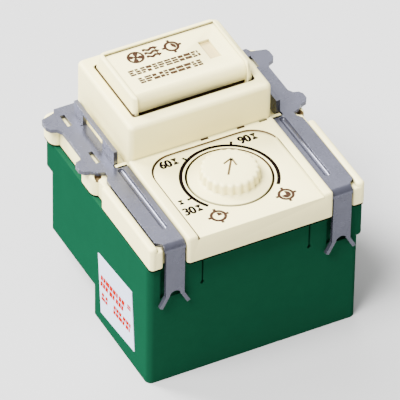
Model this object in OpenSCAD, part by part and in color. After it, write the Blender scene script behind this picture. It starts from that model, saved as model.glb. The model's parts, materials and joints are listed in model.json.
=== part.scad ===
// Flush wall switch for a ventilation fan, with a delay-off timer dial.
// It lies on its back: +Z comes out of the wall, +Y is up on the wall and +X is to the right.
// The origin is the middle of the base. Millimetres throughout.

/* [Face] */
// Width of the raised block and of the plateau below it
face_w = 29.3; // [28.8:0.1:29.6]
// Length of one frame module; the face is two modules long
module_len = 23.2; // [23.0:0.1:23.4]
// Height of the raised block's top above the back of the housing
block_top = 41.7; // [41.2:0.1:42.2]
// Height of the plateau that carries the dial
plateau_top = 34; // [33.9:0.1:34.2]
// Thickness of the cover's top and side walls
cover_wall = 1.4; // [1.2:0.1:1.6]

/* [Housing] */
// Height of the housing's rim, where the cover sits
rim_z = 27.9; // [27.6:0.1:28.2]
// Height of the shallow half's underside, where the wires enter
shallow_z = 7.2; // [6.6:0.1:7.8]
// Length of the deep half, from the front wall
deep_len = 22.9; // [22.4:0.1:23.2]
// Wall thickness of the housing
wall = 1.5; // [1.4:0.1:1.6]

/* [Push button] */
// Width of the push button at the block's top
button_w = 24.6; // [24.2:0.1:24.6]
// Height that the button stands above the block
button_rise = 3.4; // [2.8:0.1:3.8]
// Radius of the steel pin that the button turns on
pivot_r = 0.8; // [0.7:0.05:0.9]

/* [Dial] */
// Radius of the dial's flat disc
disc_r = 7.8; // [7.6:0.1:8.0]
// Radius of the raised grip on the disc
grip_r = 5.6; // [5.4:0.1:5.8]
// Number of finger scallops round the grip
scallops = 22; // [18:1:24]

/* [Straps] */
// Thickness of the steel strap
steel_t = 0.8; // [0.7:0.05:0.9]
// Distance of the strap's outer edge from the middle
strap_edge = 20.3; // [20.2:0.05:20.3]
// Distance of the ear tips from the middle
ear_tip = 23.7; // [23.2:0.1:24.0]

/* [Wire terminals] */
// Radius of a wire entry hole, for solid wire of 1.6 or 2.0 mm
wire_r = 1.3; // [1.2:0.05:1.4]
// Distance of an outer wire hole from the middle
wire_outer_x = 15; // [14.6:0.1:15.2]
// Distance of an inner wire hole from the middle
wire_inner_x = 5; // [4.8:0.1:5.4]

/* [Hidden] */

cream = [0.93, 0.91, 0.83];
green = [0.05, 0.36, 0.22];
steel = [0.60, 0.60, 0.64];
brass = [0.80, 0.62, 0.28];
epoxy = [0.10, 0.10, 0.11];
eps = 0.02;
smooth = 48;

// Face
face_front = -module_len;
face_back = module_len;
block_front = 0.85;
ledge_z = 32.3;
bar_top = ledge_z + steel_t;
plateau_step = 0.2;
panel_depth = 0.4;
panel_half_w = 12.9;
panel_back = -0.3;
panel_r = 5.5;

// Housing
left_x = -22;
right_x = 21.4;
right_lip_x = 22.3;
front_y = -21.5;
deep_back_y = front_y + deep_len;
shallow_back_y = 19.3;
lip_back_y = 21.6;
lip_z = 21;
right_lip_z = 20.1;
board_z = 24;
board_t = 1.6;
board_top = board_z + board_t;
leg_pocket_z = 20.1;
slit_x = 11;
floor_z = shallow_z + wall;
inner_left = left_x + wall;
inner_right = right_x - wall;
inner_front = front_y + wall;

// Push button, at rest
button_top = block_top + button_rise;
button_front = 4.2;
button_back = 20.0;
button_foot = block_top - 2.3;
opening_gap = 0.3;
pivot_y = 18.2;
pivot_z = 37.4;
plunger_y = 7;
spring_x = 6.2;
spring_y = 8.6;
key_panel_depth = 0.4;
window_x = 7.3;
window_y = 12;
led_y = 13.2;
carrier_z = 31;
carrier_t = 1.4;
carrier_top = carrier_z + carrier_t;
plunger_top = 32.6;
rod_tip_r = 1.2;

// Dial
dial_y = -10.6;
disc_gap = 0.45;
disc_top = plateau_top - 0.3;
disc_t = 1.3;
grip_top = disc_top + 2.5;
pointer_deg = -34;
shaft_r = 1.5;
hub_z = 30.6;

// Strap plan, right-hand side
strap_inner = 15.0;
strap_back = 21.6;
flange_x = 17.2;
flange_top = 36;
flange_front = 2.4;
flange_back = 19.0;
leg_y = -22.6;
leg_x0 = 15.2;
leg_x1 = 19.0;
leg_z = 21;
bend_edge = 19.2;
groove_x = 16.72;
groove_r = 0.65;
groove_depth = 0.5;
groove_len = 17.4;
bend_r = 1.3;

// Terminals
wire_y = 8;
release_y = 14;
release_x = (wire_inner_x + wire_outer_x) / 2;
collar_top = 11.2;

module slab(x0, x1, y0, y1, z0, z1) {
    translate([x0, y0, z0]) cube([x1 - x0, y1 - y0, z1 - z0]);
}

// Flat outline with rounded corners
module rounded_plan(x0, x1, y0, y1, r) {
    translate([x0 + r, y0]) square([x1 - x0 - 2 * r, y1 - y0]);
    translate([x0, y0 + r]) square([x1 - x0, y1 - y0 - 2 * r]);
    for (x = [x0 + r, x1 - r], y = [y0 + r, y1 - r])
        translate([x, y]) circle(r, $fn = smooth);
}

module rounded_slab(x0, x1, y0, y1, z0, z1, r) {
    translate([0, 0, z0]) linear_extrude(z1 - z0) rounded_plan(x0, x1, y0, y1, r);
}

module post(x, y, z0, z1, r) {
    translate([x, y, z0]) cylinder(h = z1 - z0, r = r, $fn = smooth);
}

module both_sides() {
    children();
    mirror([1, 0, 0]) children();
}

// ---- Housing -------------------------------------------------------------

// Outside of the stepped green box, with its overhanging rim at the back and right
module housing_shell() {
    rounded_slab(left_x, right_x, front_y, deep_back_y, 0, rim_z, 1.2);
    rounded_slab(left_x, right_x, front_y, shallow_back_y, shallow_z, rim_z, 1.2);
    rounded_slab(left_x, right_x, front_y, lip_back_y, lip_z, rim_z, 1.2);
    rounded_slab(0, right_lip_x, front_y, lip_back_y, right_lip_z, rim_z, 1.2);
    // slope under the right-hand lip
    translate([0, 18.2, 0]) rotate([90, 0, 0]) linear_extrude(18.2 - front_y - 1.2)
        polygon([
            [20.5, 19.2], [right_x - eps, 19.2], [right_lip_x, right_lip_z + eps], [20.5, right_lip_z + eps]
        ]);
}

// Room for one strap leg in the front wall
module leg_pocket() {
    slab(14.6, 19.6, front_y - 1, front_y + 0.9, leg_pocket_z, rim_z + 1);
}

// Slit beside the front wall's snap tongue, ending in a round relief hole
module tongue_slit() {
    slab(slit_x - 0.15, slit_x + 0.15, front_y - 1, inner_front + 1, lip_z, rim_z + 1);
    translate([slit_x, inner_front + 1, lip_z]) rotate([90, 0, 0])
        cylinder(h = 4, r = 0.4, $fn = smooth);
}

module wire_xs() {
    for (x = [-wire_outer_x, -wire_inner_x, wire_inner_x, wire_outer_x])
        translate([x, 0, 0]) children();
}

module housing() {
    color(green) difference() {
        union() {
            difference() {
                housing_shell();
                slab(inner_left, inner_right, inner_front, deep_back_y - wall, wall, rim_z + 1);
                slab(inner_left, inner_right, inner_front, shallow_back_y - wall, floor_z, rim_z + 1);
                slab(inner_left, right_lip_x - wall, inner_front, lip_back_y - wall, board_z, rim_z + 1);
            }
            // posts under the board's front corners
            for (x = [inner_left, inner_right - 2.4])
                slab(x, x + 2.4, inner_front - eps, inner_front + 2.4, wall - eps, board_z);
            // partition between the deep and the shallow half
            slab(inner_left - eps, inner_right + eps, deep_back_y - wall, deep_back_y - 0.3,
                 floor_z - eps, 21);
            wire_xs() post(0, wire_y, floor_z - eps, collar_top, 2.3);
            // ribs behind the lock springs
            wire_xs() slab(-2.6, 2.6, 16.1, 18, floor_z - eps, 21);
        }
        both_sides() leg_pocket();
        both_sides() tongue_slit();
        wire_xs() post(0, wire_y, shallow_z - 1, collar_top + 1, wire_r);
        for (x = [-release_x, release_x])
            slab(x - 3.2, x + 3.2, release_y - 1.4, release_y + 1.4, shallow_z - 1, floor_z + eps);
    }
}

module rating_label() {
    // stuck on a little crooked
    color([0.92, 0.94, 0.97]) translate([left_x - 0.12, -8.6, 10.1]) rotate([-5.2, 0, 0])
        translate([0, -6.95, -6.85]) cube([0.12, 13.9, 13.7]);
}

// ---- Front cover ---------------------------------------------------------

// Step that carries one strap, with the lobes under its ears and the outer bar
module cover_side() {
    slab(0, 20.4, -21.3, 21.9, rim_z, ledge_z);
    slab(0, 21.1, -2.5, 18, rim_z, ledge_z);
    rounded_slab(10, 22.1, 0.6, 7.2, rim_z, ledge_z, 1.5);
    rounded_slab(10, 22.6, 16.9, 22.1, rim_z, ledge_z, 1.5);
    rounded_slab(20.4, 22.0, -22.3, -1.9, rim_z, bar_top, 0.7);
    rounded_slab(19.35, 22.0, -22.3, -20.6, rim_z, ledge_z, 0.6);
}

// Shallow sunk panel round the dial, open towards the front edge
module dial_panel() {
    translate([0, 0, plateau_top - panel_depth]) linear_extrude(1) {
        translate([-panel_half_w, face_front - 1])
            square([2 * panel_half_w, panel_back - panel_r - face_front + 1]);
        translate([-panel_half_w + panel_r, face_front])
            square([2 * (panel_half_w - panel_r), panel_back - face_front]);
        for (s = [-1, 1])
            translate([s * (panel_half_w - panel_r), panel_back - panel_r]) circle(panel_r, $fn = 64);
    }
}

// Rib that holds one end of the button's pivot pin
module pivot_rib() {
    slab(11.2, face_w / 2 - cover_wall + eps, 16.6, face_back - cover_wall + eps, 35.4, 38.9);
}

// Boss for a board screw
module screw_boss() {
    for (y = [-8, 12]) post(16.8, y, board_top, 31.5, 2.1);
}

// Slab that fills the housing's mouth but for a gap all round
module rim_slab(gap, z0, z1) {
    slab(inner_left + gap, right_lip_x - wall - gap, inner_front + gap, lip_back_y - wall - gap, z0, z1);
}

module front_cover() {
    half = face_w / 2;
    color(cream) difference() {
        union() {
            difference() {
                union() {
                    both_sides() cover_side();
                    rounded_slab(-half - plateau_step, half + plateau_step, face_front, block_front + 2,
                                 rim_z, plateau_top, 0.5);
                    rounded_slab(-half, half, block_front, face_back, rim_z, block_top, 0.6);
                }
                // room under the straps, the plateau and the block
                slab(-19, 19, -19.4, 19.4, rim_z - 1, ledge_z - cover_wall);
                slab(-half + cover_wall, half - cover_wall, -19.4, 3, rim_z - 1, plateau_top - cover_wall);
                slab(-half + cover_wall, half - cover_wall,
                     block_front + cover_wall, face_back - cover_wall, rim_z - 1, block_top - cover_wall);
            }
            both_sides() pivot_rib();
            both_sides() screw_boss();
            // rim that locates the cover inside the housing
            difference() {
                rim_slab(0.15, rim_z - 1.6, rim_z + 0.5);
                rim_slab(1.15, rim_z - 2, rim_z + 1);
            }
        }
        // opening for the push button
        rounded_slab(-button_w / 2 - opening_gap, button_w / 2 + opening_gap, button_front - 0.6,
                     button_back + opening_gap, block_top - 3, block_top + 1, 0.5);
        // hole for the dial's disc
        post(0, dial_y, rim_z, plateau_top + 1, disc_r + disc_gap);
        dial_panel();
        // small pockets beside the strap at the front lobes
        both_sides() post(20.9, 1.5, ledge_z - 2.2, ledge_z + 1, 0.7);
        // moulding slots at the foot of the block's front wall
        for (x = [0.6, 8.1, 12.7])
            slab(x - 0.7, x + 0.7, block_front - 0.25, block_front + 0.25,
                 plateau_top - 0.7, plateau_top + 0.15);
        // bores for the pivot pin and the board screws
        translate([-12.7, pivot_y, pivot_z]) rotate([0, 90, 0])
            cylinder(h = 25.4, r = pivot_r, $fn = smooth);
        both_sides() for (y = [-8, 12]) post(16.8, y, board_top - 1, 30.2, 0.75);
    }
}

// ---- Straps --------------------------------------------------------------

// Outline of the strap seen from the front, with its two ears
module strap_plan() {
    polygon([
        [strap_inner, strap_back], [20.1, strap_back], [20.6, 20.6], [ear_tip - 1.8, 20.2],
        [ear_tip - 0.3, 19.8], [ear_tip, 19.1], [ear_tip, 17.4], [ear_tip - 0.5, 16.5], [22.1, 16.0],
        [21.5, 15.0],
        [21.5, 7.4], [22.1, 6.4], [ear_tip - 0.6, 6.1], [ear_tip - 0.1, 5.3], [ear_tip - 0.1, 3.9],
        [ear_tip - 0.7, 3.0], [21.8, 2.6], [20.8, 1.7], [19.5, 1.2], [19.5, 0.2],
        [strap_edge, -0.9], [strap_edge, -20.3], [bend_edge, leg_y + bend_r], [strap_inner, leg_y + bend_r]
    ]);
}

// Quarter bend from the flat strap down into the leg
module strap_bend() {
    intersection() {
        translate([strap_inner, leg_y + bend_r, bar_top - bend_r]) rotate([0, 90, 0]) difference() {
            cylinder(h = bend_edge - strap_inner, r = bend_r, $fn = smooth);
            translate([0, 0, -1]) cylinder(h = 10, r = bend_r - steel_t, $fn = smooth);
        }
        slab(strap_inner, bend_edge, leg_y - 1, leg_y + bend_r, bar_top - bend_r, bar_top + 1);
    }
}

// Leg with a forked, splayed foot that grips the housing
module strap_leg() {
    mid_x = (leg_x0 + leg_x1) / 2;
    difference() {
        slab(leg_x0, leg_x1, leg_y, leg_y + steel_t, leg_z, bar_top - bend_r + eps);
        translate([mid_x, leg_y - 1, leg_z]) rotate([-90, 0, 0]) cylinder(h = 3, r = 1.15, $fn = smooth);
    }
    for (s = [-1, 1])
        translate([mid_x + s * 2.05, leg_y, leg_z - 0.9]) rotate([0, -s * 28, 0])
            translate([-0.35, 0, -1.6]) cube([0.7, steel_t, 3.2]);
}

module strap() {
    difference() {
        union() {
            difference() {
                translate([0, 0, ledge_z]) linear_extrude(steel_t) strap_plan();
                // metal that is turned up into the flange, and its relief notch
                slab(strap_inner - 1, flange_x - steel_t, 1.5, flange_back + 0.4, ledge_z - 1, bar_top + 1);
                slab(strap_inner - 1, flange_x + 0.2, 1.5, flange_front, ledge_z - 1, bar_top + 1);
            }
            slab(flange_x - steel_t, flange_x, flange_front, flange_back, ledge_z, flange_top);
            strap_bend();
            strap_leg();
        }
        // window in the flange for the frame's claw
        slab(flange_x - 2, flange_x + 0.6, 7.2, 15.2, bar_top - 0.1, flange_top - 0.6);
        // narrow slot at the root of the rear ear
        slab(19.0, 19.95, 15.9, 19.3, ledge_z - 1, bar_top + 1);
        // stiffening groove pressed into the strap
        translate([groove_x, 0.3, bar_top + groove_r - groove_depth]) {
            rotate([90, 0, 0]) cylinder(h = groove_len, r = groove_r, $fn = smooth);
            sphere(groove_r, $fn = smooth);
            translate([0, -groove_len, 0]) sphere(groove_r, $fn = smooth);
        }
    }
}

module strap_right() { color(steel) strap(); }

// The left strap has a second slot, at its front ear
module strap_left() {
    color(steel) mirror([1, 0, 0]) difference() {
        strap();
        slab(19.0, 19.9, 4.2, 7.6, ledge_z - 1, bar_top + 1);
    }
}

// ---- Push button ---------------------------------------------------------

// Slab in the shape of the indicator's window
module window_slab(z0, z1) {
    slab(window_x - 1.15, window_x + 1.15, window_y - 2.7, window_y + 2.7, z0, z1);
}

module push_button() {
    half = button_w / 2;
    inner_top = button_top - 1.5;
    color(cream) difference() {
        union() {
            difference() {
                hull() {
                    slab(-half, half, button_front, button_back, button_foot, block_top);
                    slab(-half + 0.25, half - 0.25, button_front + 0.2, button_back - 0.5,
                         block_top, button_top);
                }
                slab(-half + 1.2, half - 1.2, button_front + 1.5, button_back - 1.5,
                     button_foot - 1, inner_top);
                // sunk panel that runs over the top and down the front
                slab(-10.9, 10.9, button_front - 1, button_front + 0.45, button_foot - 1, button_top + 1);
                slab(-11.4, 11.4, button_front - 1, 18.65, button_top - key_panel_depth, button_top + 1);
                // shadow slot under the panel, open towards the block's rim
                slab(-10.9, 10.9, button_front - 1, button_front + 1.6, button_foot + 1, block_top - 0.25);
            }
            // lugs that turn on the pivot pin
            both_sides() {
                slab(9.4, 10.8, pivot_y - 1.5, pivot_y + 1.5, pivot_z, inner_top + eps);
                translate([9.4, pivot_y, pivot_z]) rotate([0, 90, 0])
                    cylinder(h = 1.4, r = 1.5, $fn = smooth);
            }
            // tabs that stop the front edge under the block's top
            both_sides() slab(7.6, 10.6, 2.7, button_front + 1.5, button_foot - 0.6,
                              block_top - cover_wall - 0.25);
            // rod that works the switch
            post(0, plunger_y, plunger_top + 0.2 + rod_tip_r, inner_top + eps, rod_tip_r);
            translate([0, plunger_y, plunger_top + 0.2 + rod_tip_r]) sphere(rod_tip_r, $fn = smooth);
            both_sides() post(spring_x, spring_y, inner_top - 1.5, inner_top + eps, 1.5);
        }
        translate([-12, pivot_y, pivot_z]) rotate([0, 90, 0])
            cylinder(h = 24, r = pivot_r + 0.05, $fn = smooth);
        window_slab(inner_top - 1, button_top + 1);
    }
}

module indicator_lens() {
    color([0.90, 0.85, 0.70]) window_slab(button_top - 1.8, button_top - 1.0);
}

module button_pivot_pin() {
    color(steel) translate([-12.7, pivot_y, pivot_z]) rotate([0, 90, 0])
        cylinder(h = 25.4, r = pivot_r, $fn = smooth);
}

// Helix of round wire as one closed tube
module coil_spring(radius, wire, z0, z1, turns) {
    steps = turns * 16;
    sides = 8;
    rise = (z1 - z0 - 2 * wire) / steps;
    function centre(i) = [radius * cos(i * 22.5), radius * sin(i * 22.5), z0 + wire + rise * i];
    points = [for (i = [0:steps], k = [0:sides - 1])
        centre(i) + wire * [cos(k * 45) * cos(i * 22.5), cos(k * 45) * sin(i * 22.5), sin(k * 45)]];
    walls = [for (i = [0:steps - 1], k = [0:sides - 1])
        [i * sides + k, i * sides + (k + 1) % sides,
         (i + 1) * sides + (k + 1) % sides, (i + 1) * sides + k]];
    ends = [[for (k = [sides - 1:-1:0]) k], [for (k = [0:sides - 1]) steps * sides + k]];
    polyhedron(points, concat(walls, ends), convexity = 8);
}

module button_springs() {
    color(steel) both_sides() translate([spring_x, spring_y, 0])
        coil_spring(2.5, 0.22, carrier_top, button_top - 1.5, 8);
}

module button_carrier() {
    color([0.85, 0.85, 0.82]) difference() {
        union() {
            slab(-13.1, 13.1, 2.5, 21.6, carrier_z, carrier_top);
            for (x = [-12.6, 10.6], y = [3.2, 16.5])
                slab(x, x + 2, y, y + 2, board_top, carrier_z + eps);
            both_sides() post(spring_x, spring_y, carrier_top - eps, carrier_top + 1.8, 1.9);
        }
        post(0, plunger_y, carrier_z - 1, carrier_top + 1, 2.0);
        post(window_x, led_y, carrier_z - 1, carrier_top + 1, 2.0);
    }
}

module push_switch() {
    color(epoxy) difference() {
        slab(-3.1, 3.1, plunger_y - 3.1, plunger_y + 3.1, board_top, board_top + 4.2);
        post(0, plunger_y, board_top + 1.6, board_top + 5, 1.65);
    }
}

module switch_plunger() {
    color([0.75, 0.30, 0.20]) post(0, plunger_y, board_top + 3.0, plunger_top, 1.6);
}

// ---- Dial ----------------------------------------------------------------

// Arrow engraved in the top of the grip
module pointer_arrow() {
    slab(-0.2, 0.2, -2.4, 2.4, grip_top - 0.25, grip_top + 1);
    for (s = [-1, 1])
        translate([0, 2.6, grip_top - 0.25]) rotate([0, 0, s * 38])
            translate([-0.2, -2.0, 0]) cube([0.4, 2.0, 1]);
}

module dial_knob() {
    color(cream) translate([0, dial_y, 0]) rotate([0, 0, pointer_deg]) difference() {
        union() {
            post(0, 0, disc_top - disc_t, disc_top, disc_r);
            post(0, 0, hub_z, disc_top - disc_t + eps, 3.2);
            difference() {
                post(0, 0, disc_top - eps, grip_top, grip_r);
                for (i = [0:scallops - 1])
                    rotate([0, 0, (i + 0.5) * 360 / scallops])
                        post(grip_r + 0.4, 0, disc_top, grip_top + 1, 0.7);
            }
        }
        post(0, 0, hub_z - 1, hub_z + 3, shaft_r);
        pointer_arrow();
    }
}

module potentiometer_shaft() {
    color(steel) post(0, dial_y, board_top + 1.9, hub_z + 3, shaft_r);
}

module potentiometer() {
    color([0.15, 0.28, 0.50]) difference() {
        union() {
            slab(-4.9, 4.9, dial_y - 5.4, dial_y + 5.4, board_top, board_top + 4.2);
            post(0, dial_y, board_top + 4.1, hub_z - 0.2, 3.0);
        }
        post(0, dial_y, board_top + 1.7, hub_z + 1, shaft_r + 0.05);
    }
}

// ---- Circuit board and what is on it --------------------------------------

module main_board() {
    color([0.62, 0.50, 0.26]) difference() {
        rim_slab(0.2, board_z, board_top);
        both_sides() for (y = [-8, 12]) post(16.8, y, board_z - 1, board_top + 1, 0.95);
    }
}

module board_screws() {
    color(steel) both_sides() for (y = [-8, 12]) {
        difference() {
            post(16.8, y, board_z - 1.1, board_z, 1.6);
            slab(16.5, 17.1, y - 1.2, y + 1.2, board_z - 1.2, board_z - 0.7);
            slab(15.6, 18.0, y - 0.3, y + 0.3, board_z - 1.2, board_z - 0.7);
        }
        post(16.8, y, board_z - eps, 29.6, 0.75);
    }
}

module indicator_led() {
    color([0.85, 0.25, 0.15]) {
        post(window_x, led_y, board_top, board_top + 4.6, 1.5);
        translate([window_x, led_y, board_top + 4.6]) sphere(1.5, $fn = smooth);
        post(window_x, led_y, board_top, board_top + 0.9, 1.8);
    }
}

module timer_chip() {
    color(epoxy) slab(-12.4, -6.2, -15.5, -6.0, board_top, board_top + 1.8);
}

// Laminated core round the coil, under the board in the deep half
module transformer_core() {
    color([0.35, 0.35, 0.38]) difference() {
        slab(-18.6, -2.6, -17.6, -6.4, 7, 22.5);
        slab(-16.4, -11.9, -19, -5, 9.4, 20.1);
        slab(-9.3, -4.8, -19, -5, 9.4, 20.1);
    }
}

module transformer_coil() {
    color([0.72, 0.38, 0.16]) difference() {
        slab(-16.3, -4.9, -19.4, -4.6, 9.5, 20);
        slab(-11.9, -9.3, -17.6, -6.4, 9, 21);
    }
    color([0.72, 0.38, 0.16]) for (y = [-19.2, -5.6]) slab(-14.0, -7.2, y, y + 0.8, 20 - eps, board_z);
}

module smoothing_capacitor() {
    color([0.12, 0.16, 0.30]) {
        post(6.4, -13.2, 6.5, board_z, 5.0);
    }
}

module film_capacitor() {
    color([0.75, 0.55, 0.15]) slab(-1.4, 12.4, -6.6, -1.4, 12.0, board_z);
}

module varistor() {
    color([0.10, 0.35, 0.60]) {
        translate([16.6, -12.5, 18.4]) rotate([0, 90, 0]) cylinder(h = 2.8, r = 3.6, $fn = smooth);
        slab(17.2, 18.8, -15.0, -10.2, 19, board_z);
    }
}

module triac() {
    color(epoxy) slab(-16.4, -6.4, -1.65, -0.2, 10.6, 20.5);
    color(epoxy) for (x = [-14.2, -11.6, -9.0]) slab(x, x + 0.8, -1.4, -0.6, 20.5 - eps, board_z);
}

module heat_sink() {
    color([0.78, 0.79, 0.80]) difference() {
        slab(-19.4, -3.6, -3.65, -1.65, 8.6, board_z);
        for (x = [-17.4:3:-5.4]) slab(x, x + 1.6, -4, -2.6, 7, board_z - 2);
    }
}

module fuse() {
    color([0.80, 0.80, 0.84]) translate([14, -8.4, 20]) rotate([90, 0, 0]) {
        cylinder(h = 10.4, r = 1.6, $fn = smooth);
        for (z = [0, 8.2]) translate([0, 0, z]) cylinder(h = 2.2, r = 1.8, $fn = smooth);
    }
    color([0.80, 0.80, 0.84]) for (y = [-18.4, -9.4]) slab(13.7, 14.3, y, y + 0.6, 21, board_z);
}

module power_resistor() {
    color([0.90, 0.90, 0.86]) slab(13.4, 18.9, -6.4, -1.0, 8.0, 20.5);
    color([0.90, 0.90, 0.86]) for (y = [-5.9, -2.1]) slab(15.8, 16.4, y, y + 0.6, 20.5 - eps, board_z);
}

// ---- Wire terminals ------------------------------------------------------

// Brass contact beside each wire, with a foot on the board
module terminal_plates() {
    color(brass) wire_xs() {
        slab(-2.6, 2.6, 5.8, 6.6, collar_top + 0.3, board_z);
        slab(-2.6, 2.6, 6.6 - eps, 9.8, board_z - 0.8, board_z);
    }
}

// Bent leaf spring: its back rests on a rib and its free leg leans towards the wire
module lock_spring() {
    translate([-2, 0, 0]) rotate([90, 0, 90]) linear_extrude(4) polygon([
        [16.1, 20.5], [16.1, 12.6], [15.4, 12], [14.2, 12], [9.5, 16.6], [9.8, 17], [14.4, 12.5],
        [15.2, 12.5], [15.6, 12.9], [15.6, 20.5]
    ]);
}

module lock_springs_right() {
    color([0.72, 0.72, 0.74]) for (x = [wire_inner_x, wire_outer_x]) translate([x, 0, 0]) lock_spring();
}

module lock_springs_left() { mirror([1, 0, 0]) lock_springs_right(); }

module release_button() {
    slab(-3.0, 3.0, release_y - 1.2, release_y + 1.2, shallow_z + 0.3, floor_z + 0.3);
    slab(-6.4, 6.4, release_y - 1.2, release_y + 1.2, floor_z + 0.05, floor_z + 1.8);
}

module release_button_right() { color([0.90, 0.88, 0.80]) translate([release_x, 0, 0]) release_button(); }
module release_button_left() { color([0.90, 0.88, 0.80]) translate([-release_x, 0, 0]) release_button(); }

housing();
front_cover();
strap_left();
strap_right();
rating_label();
push_button();
indicator_lens();
button_pivot_pin();
button_springs();
button_carrier();
push_switch();
switch_plunger();
dial_knob();
potentiometer_shaft();
potentiometer();
main_board();
board_screws();
indicator_led();
timer_chip();
transformer_core();
transformer_coil();
smoothing_capacitor();
film_capacitor();
varistor();
triac();
heat_sink();
fuse();
power_resistor();
terminal_plates();
lock_springs_left();
lock_springs_right();
release_button_left();
release_button_right();
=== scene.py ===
import json
import math

import bpy
from mathutils import Matrix, Vector


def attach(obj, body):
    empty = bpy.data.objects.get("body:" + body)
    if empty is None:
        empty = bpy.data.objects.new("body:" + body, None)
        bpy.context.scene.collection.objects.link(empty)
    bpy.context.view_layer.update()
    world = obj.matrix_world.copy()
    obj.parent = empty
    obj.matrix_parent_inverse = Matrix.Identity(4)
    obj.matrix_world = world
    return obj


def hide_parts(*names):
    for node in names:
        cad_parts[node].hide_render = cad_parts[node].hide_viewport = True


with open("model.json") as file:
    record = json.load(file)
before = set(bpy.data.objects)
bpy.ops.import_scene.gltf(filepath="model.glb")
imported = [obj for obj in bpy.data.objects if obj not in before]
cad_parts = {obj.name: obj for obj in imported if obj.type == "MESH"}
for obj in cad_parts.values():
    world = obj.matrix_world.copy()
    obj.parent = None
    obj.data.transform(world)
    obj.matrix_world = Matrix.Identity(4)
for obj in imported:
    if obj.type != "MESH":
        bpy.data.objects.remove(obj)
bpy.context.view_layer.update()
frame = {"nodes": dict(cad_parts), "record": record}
NODES = frame["nodes"]
MM = 0.001
SHARP = math.radians(35)    # edges with a wider angle between their faces stay sharp
GRAIN_SCALE = 2500          # of the fine grain, per metre
SPANGLE_SCALE = 700         # of the cells in plated steel, per metre
CORNER_SHADE_DEPTH = 0.7 * MM       # reach of the painted shade in narrow corners
BUMP_HEIGHT = 0.1 * MM


# ---- Materials -------------------------------------------------------------

def rgb(r, g, b):
    """Linear colour from 0-255 display values."""
    out = []
    for v in (r, g, b):
        v = v / 255
        out.append(v / 12.92 if v <= 0.04045 else ((v + 0.055) / 1.055) ** 2.4)
    return (*out, 1.0)


def multiply(nt, colour, amount):
    """Output socket of colour times amount."""
    scaled = nt.nodes.new("ShaderNodeMix")
    scaled.data_type = "RGBA"
    scaled.blend_type = "MULTIPLY"
    scaled.inputs["Factor"].default_value = 1
    nt.links.new(colour, scaled.inputs["A"])
    nt.links.new(amount, scaled.inputs["B"])
    return scaled.outputs["Result"]


def material(name, colour, rough=0.5, metal=0.0, spec=0.5, coat=0.0, tone=0.03,
             tone_scale=300.0, grain=0.1, edge=0.0, streak=None, spangle=0.0, corner_shade=0.0):
    """A surface with slow tone changes and fine grain.

    tone is the share by which its colour changes, grain the strength of its bump. edge softly
    rounds its edges, by that radius in mm. streak squeezes the patterns along each axis.
    spangle varies its tone in small cells. corner_shade paints shade into narrow corners, darkening
    it by that share.
    """
    m = bpy.data.materials.new(name)
    m.use_nodes = True
    nt = m.node_tree
    new, link = nt.nodes.new, nt.links.new
    b = nt.nodes["Principled BSDF"]
    b.inputs["Metallic"].default_value = metal
    b.inputs["Coat Weight"].default_value = coat
    b.inputs["Specular IOR Level"].default_value = spec
    where = new("ShaderNodeTexCoord").outputs["Object"]
    if streak:
        squeeze = new("ShaderNodeMapping")
        squeeze.inputs["Scale"].default_value = streak
        link(where, squeeze.inputs["Vector"])
        where = squeeze.outputs["Vector"]
    slow = new("ShaderNodeTexNoise")
    slow.inputs["Scale"].default_value = tone_scale
    slow.inputs["Detail"].default_value = 5
    slow.inputs["Roughness"].default_value = 0.6
    link(where, slow.inputs["Vector"])
    mix = new("ShaderNodeMix")
    mix.data_type = "RGBA"
    mix.inputs["A"].default_value = [c * (1 - tone) for c in colour[:3]] + [1]
    mix.inputs["B"].default_value = [min(1, c * (1 + tone)) for c in colour[:3]] + [1]
    link(slow.outputs["Fac"], mix.inputs["Factor"])
    shade = mix.outputs["Result"]
    if spangle:
        cells = new("ShaderNodeTexVoronoi")
        cells.inputs["Scale"].default_value = SPANGLE_SCALE
        link(where, cells.inputs["Vector"])
        grey = new("ShaderNodeRGBToBW")
        link(cells.outputs["Color"], grey.inputs["Color"])
        amount = new("ShaderNodeMapRange")
        amount.inputs["To Min"].default_value = 1 - spangle
        amount.inputs["To Max"].default_value = 1 + spangle
        link(grey.outputs["Val"], amount.inputs["Value"])
        shade = multiply(nt, shade, amount.outputs["Result"])
    # painted shade: the colour is darkened in narrow corners, where ambient occlusion finds little
    # open space
    if corner_shade:
        open_share = new("ShaderNodeAmbientOcclusion")
        open_share.samples = 8
        open_share.inputs["Distance"].default_value = CORNER_SHADE_DEPTH
        kept = new("ShaderNodeMapRange")
        kept.inputs["From Min"].default_value = 0.3
        kept.inputs["From Max"].default_value = 0.9
        kept.inputs["To Min"].default_value = 1 - corner_shade
        link(open_share.outputs["AO"], kept.inputs["Value"])
        shade = multiply(nt, shade, kept.outputs["Result"])
    link(shade, b.inputs["Base Color"])
    r = new("ShaderNodeMapRange")
    r.inputs["To Min"].default_value = rough * 0.85
    r.inputs["To Max"].default_value = min(1, rough * 1.15)
    link(slow.outputs["Fac"], r.inputs["Value"])
    link(r.outputs["Result"], b.inputs["Roughness"])
    fine = new("ShaderNodeTexNoise")
    fine.inputs["Scale"].default_value = GRAIN_SCALE
    fine.inputs["Detail"].default_value = 3
    link(where, fine.inputs["Vector"])
    bump = new("ShaderNodeBump")
    bump.inputs["Strength"].default_value = grain
    bump.inputs["Distance"].default_value = BUMP_HEIGHT
    link(fine.outputs["Fac"], bump.inputs["Height"])
    if edge:
        soft = new("ShaderNodeBevel")
        soft.samples = 6
        soft.inputs["Radius"].default_value = edge * MM
        link(soft.outputs["Normal"], bump.inputs["Normal"])
    link(bump.outputs["Normal"], b.inputs["Normal"])
    return m


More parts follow.
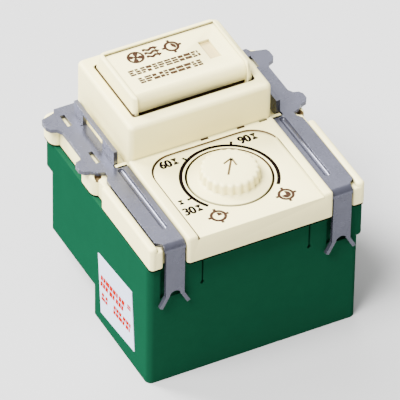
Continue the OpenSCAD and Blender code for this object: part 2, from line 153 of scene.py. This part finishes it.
CREAM = rgb(248, 236, 168)
MATS = {
    "housing_green": material("housing_green", rgb(16, 60, 41), 0.5, spec=0.0, tone=0.08,
                              grain=0.25, edge=0.3),
    "cover_cream": material("cover_cream", CREAM, 0.5, tone=0.025, grain=0.12, edge=0.15,
                            corner_shade=0.7),
    "button_cream": material("button_cream", CREAM, 0.45, tone=0.025, grain=0.1, edge=0.1,
                             corner_shade=0.7),
    "dial_cream": material("dial_cream", CREAM, 0.45, tone=0.02, grain=0.08, edge=0.1, corner_shade=0.7),
    "strap_steel": material("strap_steel", rgb(76, 77, 89), 0.27, metal=0.6, tone=0.05, grain=0.2,
                            edge=0.08, spangle=0.08, corner_shade=0.6),
    "spring_steel": material("spring_steel", rgb(170, 170, 174), 0.3, metal=1.0, tone=0.05,
                             streak=(1, 12, 1)),
    "label_paper": material("label_paper", rgb(186, 196, 218), 0.6, tone=0.03, grain=0.15),
    "lens_plastic": material("lens_plastic", rgb(204, 182, 118), 0.3, tone=0.04, coat=0.2),
    "inner_plastic": material("inner_plastic", rgb(225, 222, 210), 0.5, edge=0.1),
    "component_black": material("component_black", rgb(32, 32, 34), 0.5, tone=0.08, grain=0.3,
                                edge=0.1),
    "component_blue": material("component_blue", rgb(42, 70, 130), 0.35, tone=0.05, coat=0.3,
                               edge=0.15),
    "component_ochre": material("component_ochre", rgb(176, 132, 46), 0.35, tone=0.05, coat=0.3,
                                edge=0.3),
    "plunger_red": material("plunger_red", rgb(178, 58, 42), 0.45, edge=0.1),
    "led_red": material("led_red", rgb(200, 60, 36), 0.2, coat=0.5),
    "board_laminate": material("board_laminate", rgb(150, 112, 58), 0.55, tone=0.12,
                               streak=(1, 6, 1)),
    "core_iron": material("core_iron", rgb(84, 84, 90), 0.5, metal=0.8, tone=0.15, tone_scale=60,
                          streak=(1, 40, 1)),
    "coil_copper": material("coil_copper", rgb(156, 84, 36), 0.35, tone=0.2, tone_scale=60,
                            streak=(1, 1, 40)),
    "sink_aluminium": material("sink_aluminium", rgb(190, 192, 196), 0.35, metal=1.0,
                               streak=(1, 1, 12)),
    "fuse_glass": material("fuse_glass", rgb(190, 192, 198), 0.15, metal=0.8),
    "resistor_ceramic": material("resistor_ceramic", rgb(226, 225, 216), 0.7, grain=0.4, edge=0.2),
    "terminal_brass": material("terminal_brass", rgb(196, 160, 84), 0.3, metal=1.0,
                               streak=(1, 1, 12)),
}
INK_DARK = material("ink_dark", rgb(14, 9, 8), 0.7, spec=0.0, tone=0.3, tone_scale=1500)
INK_SOFT = material("ink_soft", rgb(60, 44, 32), 0.7, spec=0.0, tone=0.25, tone_scale=1500)
INK_RED = material("ink_red", rgb(156, 16, 0), 0.7, spec=0.0, tone=0.2, tone_scale=1500)
INK_BROWN = material("ink_brown", rgb(56, 40, 30), 0.7, spec=0.0, tone=0.3, tone_scale=1500)
# painted shade: dark brown for faces inside gaps, slots and hollows, where the cream lies in shadow
INSIDE_SHADE = material("painted_inside_shade", rgb(84, 68, 50), 0.9, spec=0.0, tone=0.15)
# painted shade: near-black filling of the joint under the cover
JOINT_SHADE = material("painted_joint_shade", rgb(6, 8, 6), 0.9, spec=0.0)
# painted shade: brown for the faces of grooves, pockets and engravings
GROOVE_SHADE = material("groove_shadow", rgb(104, 86, 58), 0.8, spec=0.0)
for sub in frame["record"]["subparts"]:
    o = NODES[sub["node"]]
    o.data.materials.clear()
    o.data.materials.append(MATS[sub["material_slot"]])


# ---- Mesh helpers, in millimetres ------------------------------------------

def smooth(me):
    """Smooth shading, apart from the sharp edges."""
    for p in me.polygons:
        p.use_smooth = True
    me.set_sharp_from_angle(angle=SHARP)


def add(name, data):
    """A new object in the scene."""
    o = bpy.data.objects.new(name, data)
    bpy.context.scene.collection.objects.link(o)
    return o


def evaluated_mesh(o):
    """A new mesh with the object's modifiers or curves worked out."""
    bpy.context.view_layer.update()
    graph = bpy.context.evaluated_depsgraph_get()
    return bpy.data.meshes.new_from_object(o.evaluated_get(graph))


def mesh(name, verts, faces, mat):
    me = bpy.data.meshes.new(name)
    me.from_pydata([Vector(v) * MM for v in verts], [], faces)
    me.validate()
    me.materials.append(mat)
    smooth(me)
    return add(name, me)


def ring(x0, x1, y0, y1, r, z, n=6):
    """Corner points of a rounded rectangle at height z, anticlockwise from above."""
    r = max(r, 0.01)
    corners = ((x1 - r, y0 + r, -90), (x1 - r, y1 - r, 0),
               (x0 + r, y1 - r, 90), (x0 + r, y0 + r, 180))
    pts = []
    for cx, cy, a0 in corners:
        for i in range(n + 1):
            a = math.radians(a0 + 90 * i / n)
            pts.append((cx + r * math.cos(a), cy + r * math.sin(a), z))
    return pts


def loft(name, rings, mat, closed=False):
    """Skin over rings with equal point counts, capped at both ends or closed on itself."""
    n = len(rings[0])
    verts = [p for one in rings for p in one]
    faces = []
    pairs = list(zip(range(len(rings) - 1), range(1, len(rings))))
    if closed:
        pairs.append((len(rings) - 1, 0))
    for a, b in pairs:
        for i in range(n):
            j = (i + 1) % n
            faces.append((a * n + i, a * n + j, b * n + j, b * n + i))
    if not closed:
        faces.append(tuple(reversed(range(n))))
        faces.append(tuple(range((len(rings) - 1) * n, len(rings) * n)))
    return mesh(name, verts, faces, mat)


def tablet(name, x0, x1, y0, y1, z0, z1, r, edge, mat, n=6):
    """Upright block with corner radius r whose top edge is rounded by edge."""
    rings = [ring(x0, x1, y0, y1, r, z0, n)]
    for i in range(6):
        a = math.radians(18 * i)
        d = edge * (1 - math.cos(a))
        z = z1 - edge + edge * math.sin(a)
        rings.append(ring(x0 + d, x1 - d, y0 + d, y1 - d, max(r - d, 0.05), z, n))
    return loft(name, rings, mat)


def box(name, x0, x1, y0, y1, z0, z1, mat):
    return loft(name, [ring(x0, x1, y0, y1, 0, z0, 1), ring(x0, x1, y0, y1, 0, z1, 1)], mat)


def turned(name, profile, mat, centre=(0, 0), n=96, wave=None):
    """Turned about Z from (radius, z) points, low to high.

    wave(radius, z, angle) may change the radius.
    """
    rings = []
    for r, z in profile:
        one = []
        for i in range(n):
            a = 2 * math.pi * i / n
            rr = wave(r, z, a) if wave else r
            one.append((centre[0] + rr * math.cos(a), centre[1] + rr * math.sin(a), z))
        rings.append(one)
    return loft(name, rings, mat)


def cut(o, *cutters):
    """Takes the cutters away from o. The cut faces get the cutters' materials."""
    for c in cutters:
        mod = o.modifiers.new("cut", "BOOLEAN")
        mod.operation = "DIFFERENCE"
        mod.solver = "EXACT"
        mod.material_mode = "TRANSFER"
        mod.object = c
    freeze(o)
    for c in cutters:
        bpy.data.objects.remove(c)
    return o


def paint(o, mat, test):
    """Gives mat to the faces whose middle, in mm, passes the test."""
    o.data.materials.append(mat)
    index = len(o.data.materials) - 1
    for p in o.data.polygons:
        if test(*(p.center / MM)):
            p.material_index = index
    return o


def bevel(o, width):
    mod = o.modifiers.new("bevel", "BEVEL")
    mod.width = width * MM
    mod.segments = 2
    mod.limit_method = "ANGLE"
    mod.angle_limit = math.radians(30)
    mod.use_clamp_overlap = True
    freeze(o)
    return o


def freeze(o):
    """Applies the modifiers."""
    me = evaluated_mesh(o)
    o.modifiers.clear()
    o.data = me
    me.name = o.name
    smooth(me)


def merge(name, parts):
    """One object from several, as separate shells."""
    verts, faces, mats, face_mats = [], [], [], []
    for o in parts:
        base = len(verts)
        verts += [tuple(o.matrix_world @ v.co) for v in o.data.vertices]
        for m in o.data.materials:
            if m not in mats:
                mats.append(m)
        for p in o.data.polygons:
            faces.append([base + i for i in p.vertices])
            face_mats.append(mats.index(o.data.materials[p.material_index]))
        bpy.data.objects.remove(o)
    me = bpy.data.meshes.new(name)
    me.from_pydata(verts, [], faces)
    for m in mats:
        me.materials.append(m)
    me.polygons.foreach_set("material_index", face_mats)
    smooth(me)
    return add(name, me)


# ---- Front cover -----------------------------------------------------------

COVER = MATS["cover_cream"]
TOP = 41.7              # of the block
PLATEAU = 34.0          # top of the plateau
PANEL = PLATEAU - 0.4   # floor of the dial's sunk panel
RIM = 27.9              # top of the housing's rim
FOOT = RIM + 0.38       # underside of the cover, with near-black painted shade in the joint below it
DIAL_Y = -10.6          # the dial's axis
SIDE_X, WALL_Y = 13.5, 19.4         # inner faces of the cover's side pieces and end walls
BLOCK = (-14.65, 14.65, 0.85, 23.2)     # plans: low and high x, low and high y
SLAB = (-14.85, 14.85, -23.2, 1.5)
BLOCK_R, SLAB_R = 1.0, 0.6          # corner radii of the plans
BLOCK_EDGE = 0.85                   # rounding of the block's top edge
MOUTH = (12.6, 3.6, 20.3)           # the button's opening: half width, front and back
MOUTH_EDGE = 0.25                   # its rounding
ROOM = (-13.2, 13.2, 2.3, 21.75)    # space inside the block


def block():
    """The raised block as a shell with the button's opening in its top."""
    x0, x1, y0, y1 = BLOCK
    rings = [ring(*BLOCK, BLOCK_R, z) for z in (FOOT, 33)]
    for i in range(7):
        a = math.radians(15 * i)
        d = BLOCK_EDGE * (1 - math.cos(a))
        z = TOP - BLOCK_EDGE + BLOCK_EDGE * math.sin(a)
        rings.append(ring(x0 + d, x1 - d, y0 + d, y1 - d, 1.1 - d * 0.5, z))
    ox, oy0, oy1 = MOUTH
    e = MOUTH_EDGE
    for i in range(4):
        a = math.radians(90 - 30 * i)
        d = e * (1 - math.cos(a))
        z = TOP - e + e * math.sin(a)
        rings.append(ring(-ox - e + d, ox + e - d, oy0 - e + d, oy1 + e - d, 0.7, z))
    rings.append(ring(-ox, ox, oy0, oy1, 0.7, 40.2))
    rings += [ring(*ROOM, 0.7, z) for z in (40.2, FOOT)]
    shell = loft("block", rings, COVER, closed=True)
    # the walls inside the block, below the opening's lip, get painted shade
    return paint(shell, INSIDE_SHADE, lambda x, y, z: abs(x) < 13.3 and 2.2 < y < 21.8 and z < 41.3)


def panel_outline(inset, z):
    """Edge of the dial's sunk panel, open towards the front."""
    r = 5.5 - inset
    pts = [(inset - 12.9, -30 + inset, z), (12.9 - inset, -30 + inset, z)]
    for s, a0 in ((1, 0), (-1, 90)):
        for i in range(13):
            a = math.radians(a0 + 90 * i / 12)
            pts.append((s * 7.4 + r * math.cos(a), -5.8 + r * math.sin(a), z))
    return pts


def plateau():
    slab = tablet("plateau", *SLAB, FOOT, PLATEAU, SLAB_R, 0.55, COVER)
    # the well round the dial has painted shade on its walls
    well = turned("well", [(9.6, 20), (9.6, 32.95), (8.25, 33.0), (8.25, 40)], INSIDE_SHADE,
                  (0, DIAL_Y))
    sunk = loft("sunk", [panel_outline(0, PANEL), panel_outline(0, 40)], COVER)
    # narrow groove at the foot of the panel's left edge, on the shaded side, its faces painted with
    # shade
    edge = []
    for width, z in ((0, 33.2), (0, 38), (1, 38), (1, 33.2)):
        edge.append([(x + width * (0.42 if x < 0 else -0.02), y - 0.05 * width, z)
                     for x, y, z in panel_outline(-0.03, z)])
    moat = loft("moat", edge, INSIDE_SHADE, closed=True)
    # hollow under the plateau, its faces painted with shade
    room = box("room", -13.2, 13.2, -19.4, 5, 20, 32.5, INSIDE_SHADE)
    # short moulding slots at the foot of the block, their faces painted with shade
    dashes = [box("dash", x - 0.8, x + 0.8, 0.4, 2, PLATEAU - 0.7, PLATEAU + 1, INSIDE_SHADE)
              for x in (0.6, 8.1, 12.7)]
    cut(slab, sunk, moat, well, room, *dashes)
    return bevel(slab, 0.08)


def joint(x0, x1, y0, y1, r, n=6):
    """Near-black strip of painted shade in the joint under a piece of the cover with this plan."""
    d = 0.05
    return tablet("joint", x0 + d, x1 - d, y0 + d, y1 - d, RIM + 0.005, FOOT + 0.1, r, 0.01,
                  JOINT_SHADE, n)


def sides():
    """The rest of the cover, and the near-black strips of painted shade in the joint under all of
    it.

    The pieces overlap, so their heights differ a little and no two faces coincide.
    """
    # dark boxes that paint shade into the moulding slots at the foot of the block
    parts = [box("painted_foot_slot_shade", x - 0.75, x + 0.75, 0.81, 1.0, 33.4, 34.14, INSIDE_SHADE)
             for x in (0.6, 8.1)]
    # strips of painted shade in the joint under the slab and the block
    for plan in ((*SLAB, SLAB_R), (*BLOCK, BLOCK_R)):
        inside = box("joint_room", -13.2, 13.2, -19.4, 21.75, 20, 40, JOINT_SHADE)
        parts.append(cut(joint(*plan), inside))
    for s in (-1, 1):
        def side(name, xa, xb, y0, y1, z0, z1, r, edge, n=6):
            x0, x1 = sorted((s * xa, s * xb))
            if z0 < FOOT + 0.1:
                parts.append(joint(x0, x1, y0, y1, r, n))
            parts.append(tablet(name, x0, x1, y0, y1, z0, z1, r, edge, COVER, n))
            return parts[-1]

        # pocket beside the strap, its walls painted with shade
        def pocket(spare):
            r = 0.7 + spare
            return turned("pocket", [(r, 31.5 - spare), (r, 40)], GROOVE_SHADE, (s * 20.9, 1.5), 32)

        ledge = side("ledge", SIDE_X, 20.35, -21.25, 21.85, 30.9, 32.28, 0.3, 0.1)
        wall = side("wall", 19.0, 20.4, -21.3, 21.9, FOOT, 32.2, 0.3, 0.1)
        strip = side("strip", 18.0, 21.1, -2.5, 18.0, FOOT + 0.05, 32.25, 0.3, 0.3)
        side("bar", 20.4, 22.0, -22.3, -1.9, FOOT + 0.01, 33.1, 0.78, 0.6, 8)
        side("fill", 14.3, 17.1, 1.0, 2.3, 31.0, 33.1, 0.1, 0.1)
        side("foot", 19.35, 21.8, -22.3, -20.6, FOOT + 0.03, 32.25, 0.6, 0.3)
        rear_plan = (*sorted((s * SIDE_X, s * 22.6)), 16.9, 22.1)
        lobe_plan = (*sorted((s * SIDE_X, s * 22.1)), 0.6, 7.2)
        parts.append(joint(*rear_plan, 1.9, 10))
        parts.append(joint(*lobe_plan, 1.9, 10))
        rear = tablet("rear_lobe", *rear_plan, FOOT + 0.02, 32.29, 1.9, 0.45, COVER, 10)
        lobe = tablet("lobe", *lobe_plan, FOOT + 0.04, 32.27, 1.9, 0.5, COVER, 10)
        # each overlapping solid is cut a little wider than the lobe, so no two walls coincide
        for i, o in enumerate((lobe, strip, wall, ledge)):
            cut(o, pocket(0.03 * i))
        parts.extend((rear, lobe))
        walls_x = sorted((s * SIDE_X, s * 20.4))
        parts.append(box("front_wall", *walls_x, -21.2, -WALL_Y, FOOT + 0.06, 32.15, COVER))
        parts.append(box("back_wall", *walls_x, WALL_Y, 21.8, FOOT + 0.07, 32.15, COVER))
    # skirt that reaches into the housing, painted with shade
    parts.append(tablet("rim", -20.35, 20.65, -19.85, 19.95, 26.3, 28.5, 0.3, 0.1, INSIDE_SHADE))
    inner = box("rim_room", -19.35, 19.65, -18.85, 18.95, 20, 40, INSIDE_SHADE)
    cut(parts[-1], inner)
    return parts


cover = merge("cover_look", [block(), plateau(), *sides()])
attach(cover, "module")
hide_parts("front_cover")


# ---- Push button -----------------------------------------------------------

BUTTON = MATS["button_cream"]
KEY_TOP = 45.1
KEY_FACE = KEY_TOP - 0.4            # floor of the key's sunk panel
KEY_EDGE = 0.5                      # rounding of its top edge
PANEL_X, PANEL_Y = 11.3, 18.65      # half width and back edge of the sunk panel
ROLL_Y, ROLL_R = 6.3, 1.5           # the panel's bend over the front edge


def push_button():
    rings = [ring(-12.3, 12.3, 4.2, 20.0, 0.6, z) for z in (39.4, 41.4, 41.8)]
    for i in range(7):
        a = math.radians(15 * i)
        d = KEY_EDGE * (1 - math.cos(a))
        z = KEY_TOP - KEY_EDGE + KEY_EDGE * math.sin(a)
        rings.append(ring(-12.1 + d, 12.1 - d, 4.35 + d, 19.6 - d, 1.3 - d * 0.5, z))
    # the key's sides below the block's lip get painted shade, reaching higher on the left
    body = paint(loft("key", rings, BUTTON), INSIDE_SHADE,
                 lambda x, y, z: z < (41.7 if x < -12 else 41.4))
    # sunk panel over the top, round the front edge and down the front
    prof = [(-5, 38), (4.75, 38), (4.8, 43.2)]
    for i in range(1, 10):
        a = math.radians(180 - 10 * i)
        prof.append((ROLL_Y + ROLL_R * math.cos(a), KEY_FACE - ROLL_R + ROLL_R * math.sin(a)))
    prof += [(ROLL_Y, KEY_FACE), (PANEL_Y, KEY_FACE), (PANEL_Y, 50), (-5, 50)]
    panel = loft("panel", [[(x, y, z) for y, z in prof] for x in (-PANEL_X, PANEL_X)], BUTTON)
    # the faces cut by the hollow and the slot get painted shade
    hollow = box("hollow", -11.0, 11.0, 6.2, 18.4, 30, 43.5, INSIDE_SHADE)
    window = box("window", 6.15, 8.45, 9.3, 14.7, 43, 50, BUTTON)
    shadow_slot = box("shadow_slot", -10.95, 10.95, 3, 6.4, 40.4, 41.4, INSIDE_SHADE)
    # fine grooves along the panel's left and back edges, where shadow falls, their faces painted
    # with shade
    moats = [box("moat", *plan, KEY_FACE - 0.3, KEY_FACE + 0.2, GROOVE_SHADE)
             for plan in ((-PANEL_X, -11.08, ROLL_Y, PANEL_Y), (-PANEL_X, PANEL_X, 18.43, PANEL_Y))]
    cut(body, panel, hollow, window, shadow_slot, *moats)
    bevel(body, 0.1)
    rod = turned("rod", [(0.3, 32.85), (0.9, 33.1), (1.2, 34), (1.2, 43.7)], BUTTON, (0, 7), 32)
    lugs = []
    for s in (-1, 1):
        lugs.append(box("lug", *sorted((s * 9.4, s * 10.8)), 16.7, 19.2, 38.6, 43.7, BUTTON))
        lugs.append(turned("post", [(1.5, 42.1), (1.5, 43.7)], BUTTON, (s * 6.2, 8.6), 32))
        lugs.append(box("tab", *sorted((s * 7.6, s * 10.6)), 2.7, 6.4, 38.8, 40.05, BUTTON))
    return merge("button_look", [body, rod, *lugs])


key = push_button()
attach(key, "button")
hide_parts("push_button")


# ---- Dial ------------------------------------------------------------------

DIAL = MATS["dial_cream"]
POINTER = math.radians(-34)     # the arrow's turn about Z at rest, from +Y
SCALLOPS = 22                   # round the grip
FLAT_R = 4.3                    # no scallops inside this radius
GRIP_LOW = 33.9                 # or below this height


def flute(r, z, a):
    """Radius of the grip with its scallops, which run out over the top's edge."""
    if r < FLAT_R or z < GRIP_LOW:
        return r
    deep = 0.3 * min(1, (r - FLAT_R) / 0.8)
    return r - deep * (0.5 - 0.5 * math.cos(SCALLOPS * a)) ** 1.5


def stroke(start, heading, length, width=0.42):
    """Corners of one bar of the arrow, from start. heading is clockwise from the pointer's."""
    a = POINTER - math.radians(heading)
    ahead = Vector((-math.sin(a), math.cos(a)))
    across = Vector((ahead.y, -ahead.x)) * width / 2
    p = Matrix.Rotation(POINTER, 2) @ Vector(start) + Vector((0, DIAL_Y))
    q = p + ahead * length
    return [p - across, p + across, q + across, q - across]


def dial():
    prof = [(7.0, 32.4), (7.72, 33.0), (7.8, 33.15), (7.8, 33.55), (7.74, 33.66), (7.6, 33.7),
            (6.1, 33.7), (5.85, 33.78), (5.68, 34.0), (5.6, 34.9), (5.52, 35.4)]
    for i in range(1, 7):
        a = math.radians(15 * i)
        prof.append((4.82 + 0.7 * math.cos(a), 35.45 + 0.6 * math.sin(a)))
    prof += [(4.2, 36.13), (3.0, 36.17), (1.5, 36.2), (0.2, 36.2)]
    body = turned("dial", prof, DIAL, (0, DIAL_Y), 176, flute)
    # the dial's side below the panel gets painted shade
    paint(body, INSIDE_SHADE, lambda x, y, z: z < 33.0)
    strokes = [stroke((0, -2.4), 0, 4.8), stroke((0, 2.4), 147, 2.2), stroke((0, 2.4), -147, 2.2)]

    def prism(quad, z0, z1, mat):
        return loft("stroke", [[(v.x, v.y, z) for v in quad] for z in (z0, z1)], mat)

    cut(body, *[prism(q, 35.95, 37, DIAL) for q in strokes])
    # floors of the arrow's engraving, painted with shade
    floors = [prism(q, 35.9, 35.97, GROOVE_SHADE) for q in strokes]
    hub = turned("hub", [(3.2, 30.6), (3.2, 32.4)], DIAL, (0, DIAL_Y), 48)
    return merge("dial_look", [body, hub, *floors])


knob = dial()
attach(knob, "dial")
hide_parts("dial_knob")


# ---- Printed marks ---------------------------------------------------------

LIFT = 0.015            # of a print above its surface
LABEL_X = -22.12        # the label's face
LABEL_Y, LABEL_Z = -8.6, 10.1
LABEL_TURN = math.radians(5.2)
STROKE_OFFSET = 0.02    # widening of a number's strokes, as a share of its size
STROKE_SPREAD = 0.09    # shift of its two copies to either side
NARROW = 0.84           # width of a number's digits against the font's


def flat(name, outlines, mat, place):
    """Thin print from 2D outlines; place turns (u, v) into a point."""
    verts, faces = [], []
    for pts in outlines:
        faces.append(tuple(range(len(verts), len(verts) + len(pts))))
        verts += [place(u, v) for u, v in pts]
    return mesh(name, verts, faces, mat)


def bar(cx, cy, w, h, turn=0.0):
    c, s = math.cos(math.radians(turn)), math.sin(math.radians(turn))
    corners = ((-w / 2, -h / 2), (w / 2, -h / 2), (w / 2, h / 2), (-w / 2, h / 2))
    return [(cx + u * c - v * s, cy + u * s + v * c) for u, v in corners]


def around(cx, cy, r, a):
    """Point at radius r and the angle a, clockwise from +v."""
    return (cx + r * math.sin(a), cy + r * math.cos(a))


def arc(cx, cy, r, width, a0, a1, n=None):
    """Band of a circle as quads; angles clockwise from +v, in degrees."""
    n = n or max(4, int(abs(a1 - a0) / 5))
    quads = []
    for i in range(n):
        angles = [math.radians(a0 + (a1 - a0) * k / n) for k in (i, i + 1)]
        inner = [around(cx, cy, r - width / 2, a) for a in angles]
        outer = [around(cx, cy, r + width / 2, a) for a in angles]
        quads.append([inner[0], inner[1], outer[1], outer[0]])
    return quads


def sector(cx, cy, r, a0, a1, n=12):
    pts = [(cx, cy)]
    for i in range(n + 1):
        pts.append(around(cx, cy, r, math.radians(a0 + (a1 - a0) * i / n)))
    return [pts]


def clock(cx, cy, size, share):
    """Clock face with a filled share of the hour."""
    r = size / 2
    marks = arc(cx, cy, r - 0.28, 0.56, 0, 360, 32) + sector(cx, cy, r * 0.58, 0, 360 * share, 16)
    for a in range(0, 360, 90):
        marks.append(bar(*around(cx, cy, r + 0.22, math.radians(a)), 0.55, 0.5, -a))
    return marks


def fan(cx, cy, size):
    r = size / 2
    marks = arc(cx, cy, r - 0.25, 0.5, 0, 360, 32) + sector(cx, cy, 0.38, 0, 359, 12)
    blade = ((0.3, -4), (r * 0.5, -14), (r * 0.76, 0), (r * 0.78, 40), (r * 0.5, 50), (0.3, 60))
    for a in range(0, 360, 90):
        marks.append([around(cx, cy, q, math.radians(a + t)) for q, t in blade])
    return marks


def waves(cx, cy, size):
    """Three wavy streams of air with arrow heads."""
    marks = []
    thick = 0.34
    for k in (-1, 0, 1):
        y = cy + k * size * 0.34
        pts = [(cx - size / 2 + size * i / 16, y + 0.2 * math.sin(i * math.pi / 4))
               for i in range(13)]
        for (xa, ya), (xb, yb) in zip(pts, pts[1:]):
            marks.append([(xa, ya - thick), (xb, yb - thick), (xb, yb + thick), (xa, ya + thick)])
        x = pts[-1][0]
        marks.append([(x, y - 0.62), (x + size * 0.3, y), (x, y + 0.62)])
    return marks


def hourglass(cx, cy, w, h):
    low = [(cx - w / 2, cy - h / 2 + 0.2), (cx + w / 2, cy - h / 2 + 0.2), (cx, cy + 0.1)]
    high = [(cx, cy - 0.1), (cx + w / 2, cy + h / 2 - 0.2), (cx - w / 2, cy + h / 2 - 0.2)]
    return [low, high, bar(cx, cy - h / 2, w * 1.2, 0.36), bar(cx, cy + h / 2, w * 1.2, 0.36)]


def words(x0, x1, y, h, seed, rows=0):
    """Plain bars that stand for a line of print, in so many rows or in a mix of two and three."""
    marks = []
    x, k = x0, seed
    while x < x1 - 0.3:
        k = (k * 37 + 11) % 101
        w = min(0.8 + 0.7 * (k % 10) / 10, x1 - x)
        n = rows or (3 if k % 3 else 2)
        for i in range(n):
            short = 0.7 if (k + i) % 4 == 0 else 1
            v = y + h * (0.5 - (i + 0.5) / n)
            marks.append(bar(x + w * short / 2, v, w * short, h * 0.8 / n))
        x += w + 0.18
    return marks


def number(text, cx, cy, height, mat, place, name):
    """A number as a print, its strokes widened by drawing it twice, side by side."""
    data = bpy.data.curves.new(name, "FONT")
    data.body = text
    data.size = 1.0
    data.offset = STROKE_OFFSET
    data.align_x = "CENTER"
    data.align_y = "CENTER"
    o = add(name, data)
    me = evaluated_mesh(o)
    bpy.data.objects.remove(o)
    ys = [v.co.y for v in me.vertices]
    k = height / (max(ys) - min(ys))
    mid = (max(ys) + min(ys)) / 2
    outline = [(cx + v.co.x * k * NARROW, cy + (v.co.y - mid) * k) for v in me.vertices]
    faces = [tuple(p.vertices) for p in me.polygons]
    bpy.data.meshes.remove(me)
    n = len(outline)
    low = [place(u - STROKE_SPREAD, v) for u, v in outline]
    high = [Vector(place(u + STROKE_SPREAD, v)) + Vector((0, 0, 0.006)) for u, v in outline]
    return mesh(name, low + high, faces + [tuple(n + i for i in f) for f in faces], mat)


def on_panel(u, v):
    return (u, v, PANEL + LIFT)


def on_key(u, v):
    return (u, v, KEY_FACE + LIFT)


def on_label(u, v):
    """u runs along the label towards the front, v up it."""
    y = LABEL_Y - (u * math.cos(LABEL_TURN) + v * math.sin(LABEL_TURN))
    z = LABEL_Z + (v * math.cos(LABEL_TURN) + u * math.sin(LABEL_TURN))
    return (LABEL_X - LIFT, y, z)


scale = arc(0, DIAL_Y, 9.0, 0.7, -127, 129)
for deg in (-103.4, -31.9, 28.7):
    scale.append(bar(*around(0, DIAL_Y, 9.55, math.radians(deg)), 0.5, 1.2, -deg))
prints = [flat("scale_print", scale, INK_DARK, on_panel)]
prints.append(flat("short_time", clock(-6.8, -19.3, 3.2, 0.25), INK_BROWN, on_panel))
prints.append(flat("long_time", clock(7.0, -19.4, 3.2, 0.75), INK_BROWN, on_panel))
minutes = []
for text, cx, cy in (("30", -10.9, -15.75), ("60", -8.95, -2.2), ("90", 7.35, -2.2)):
    prints.append(number(text, cx, cy, 2.1, INK_DARK, on_panel, "number_" + text))
    minutes += hourglass(cx + 1.95, cy, 0.85, 1.4)
minutes += hourglass(-11.2, -13.0, 0.7, 0.9)
prints.append(flat("minute_marks", minutes, INK_DARK, on_panel))
for p in prints:
    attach(p, "module")

key_prints = [
    flat("fan_print", fan(-6.1, 15.75, 3.4), INK_BROWN, on_key),
    flat("air_print", waves(-2.7, 15.85, 3.0), INK_BROWN, on_key),
    flat("clock_print", clock(1.3, 15.75, 3.0, 0.4), INK_BROWN, on_key),
    flat("row_print_a", words(-9.3, 5.1, 11.9, 1.8, 5), INK_SOFT, on_key),
    flat("row_print_b", words(-8.5, 4.3, 9.3, 1.8, 8), INK_SOFT, on_key),
]
for p in key_prints:
    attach(p, "button")

marks = words(-6.5, 3.4, 1.15, 3.0, 3, 2) + words(-5.7, -3.3, -2.5, 2.0, 7, 2)
marks += words(-0.8, 6.2, -2.4, 2.4, 9, 2) + words(4.4, 6.1, 2.4, 1.2, 4, 2)
label_print = flat("label_print", marks, INK_RED, on_label)
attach(label_print, "module")


# ---- Studio ----------------------------------------------------------------

world = bpy.data.worlds.new("studio")
bpy.context.scene.world = world
world.use_nodes = True
sky = world.node_tree.nodes["Background"]
sky.inputs["Color"].default_value = (1, 1, 1, 1)
sky.inputs["Strength"].default_value = 0.5

bpy.ops.mesh.primitive_plane_add(size=4.0, location=(0, 0.3, 0))
floor = bpy.context.object
floor.name = "floor"
floor.data.materials.append(material("floor", rgb(177, 177, 177), 0.9, spec=0.0, tone=0.01,
                                     tone_scale=5, grain=0.0))


def sun(name, direction, strength, spread):
    """Light that travels in the given direction, spread in degrees."""
    data = bpy.data.lights.new(name, "SUN")
    data.energy = strength
    data.angle = math.radians(spread)
    add(name, data).rotation_euler = Vector(direction).to_track_quat("-Z", "Y").to_euler()


sun("key", (0.50, 0.12, -0.86), 12.0, 32)
sun("back", (0.1, -0.70, -0.69), 4.0, 60)
sun("rim", (0.45, -0.67, -0.58), 8.5, 22)


# ---- Camera ----------------------------------------------------------------

cam_data = bpy.data.cameras.new("camera")
cam_data.sensor_width = 36
cam_data.lens = 507.9
cam_data.clip_start = 0.01
cam_data.clip_end = 20
cam = add("camera", cam_data)
forward = Vector((0.3530, 0.6712, -0.6518)).normalized()
right = forward.cross(Vector((0, 0, 1))).normalized()
up = right.cross(forward)
roll = math.radians(0.98)
r_axis = math.cos(roll) * right + math.sin(roll) * up
u_axis = -math.sin(roll) * right + math.cos(roll) * up
pose = Matrix((r_axis, u_axis, -forward)).transposed().to_4x4()
pose.translation = Vector((-0.3700, -0.7026, 0.7024))
cam.matrix_world = pose
bpy.context.scene.camera = cam
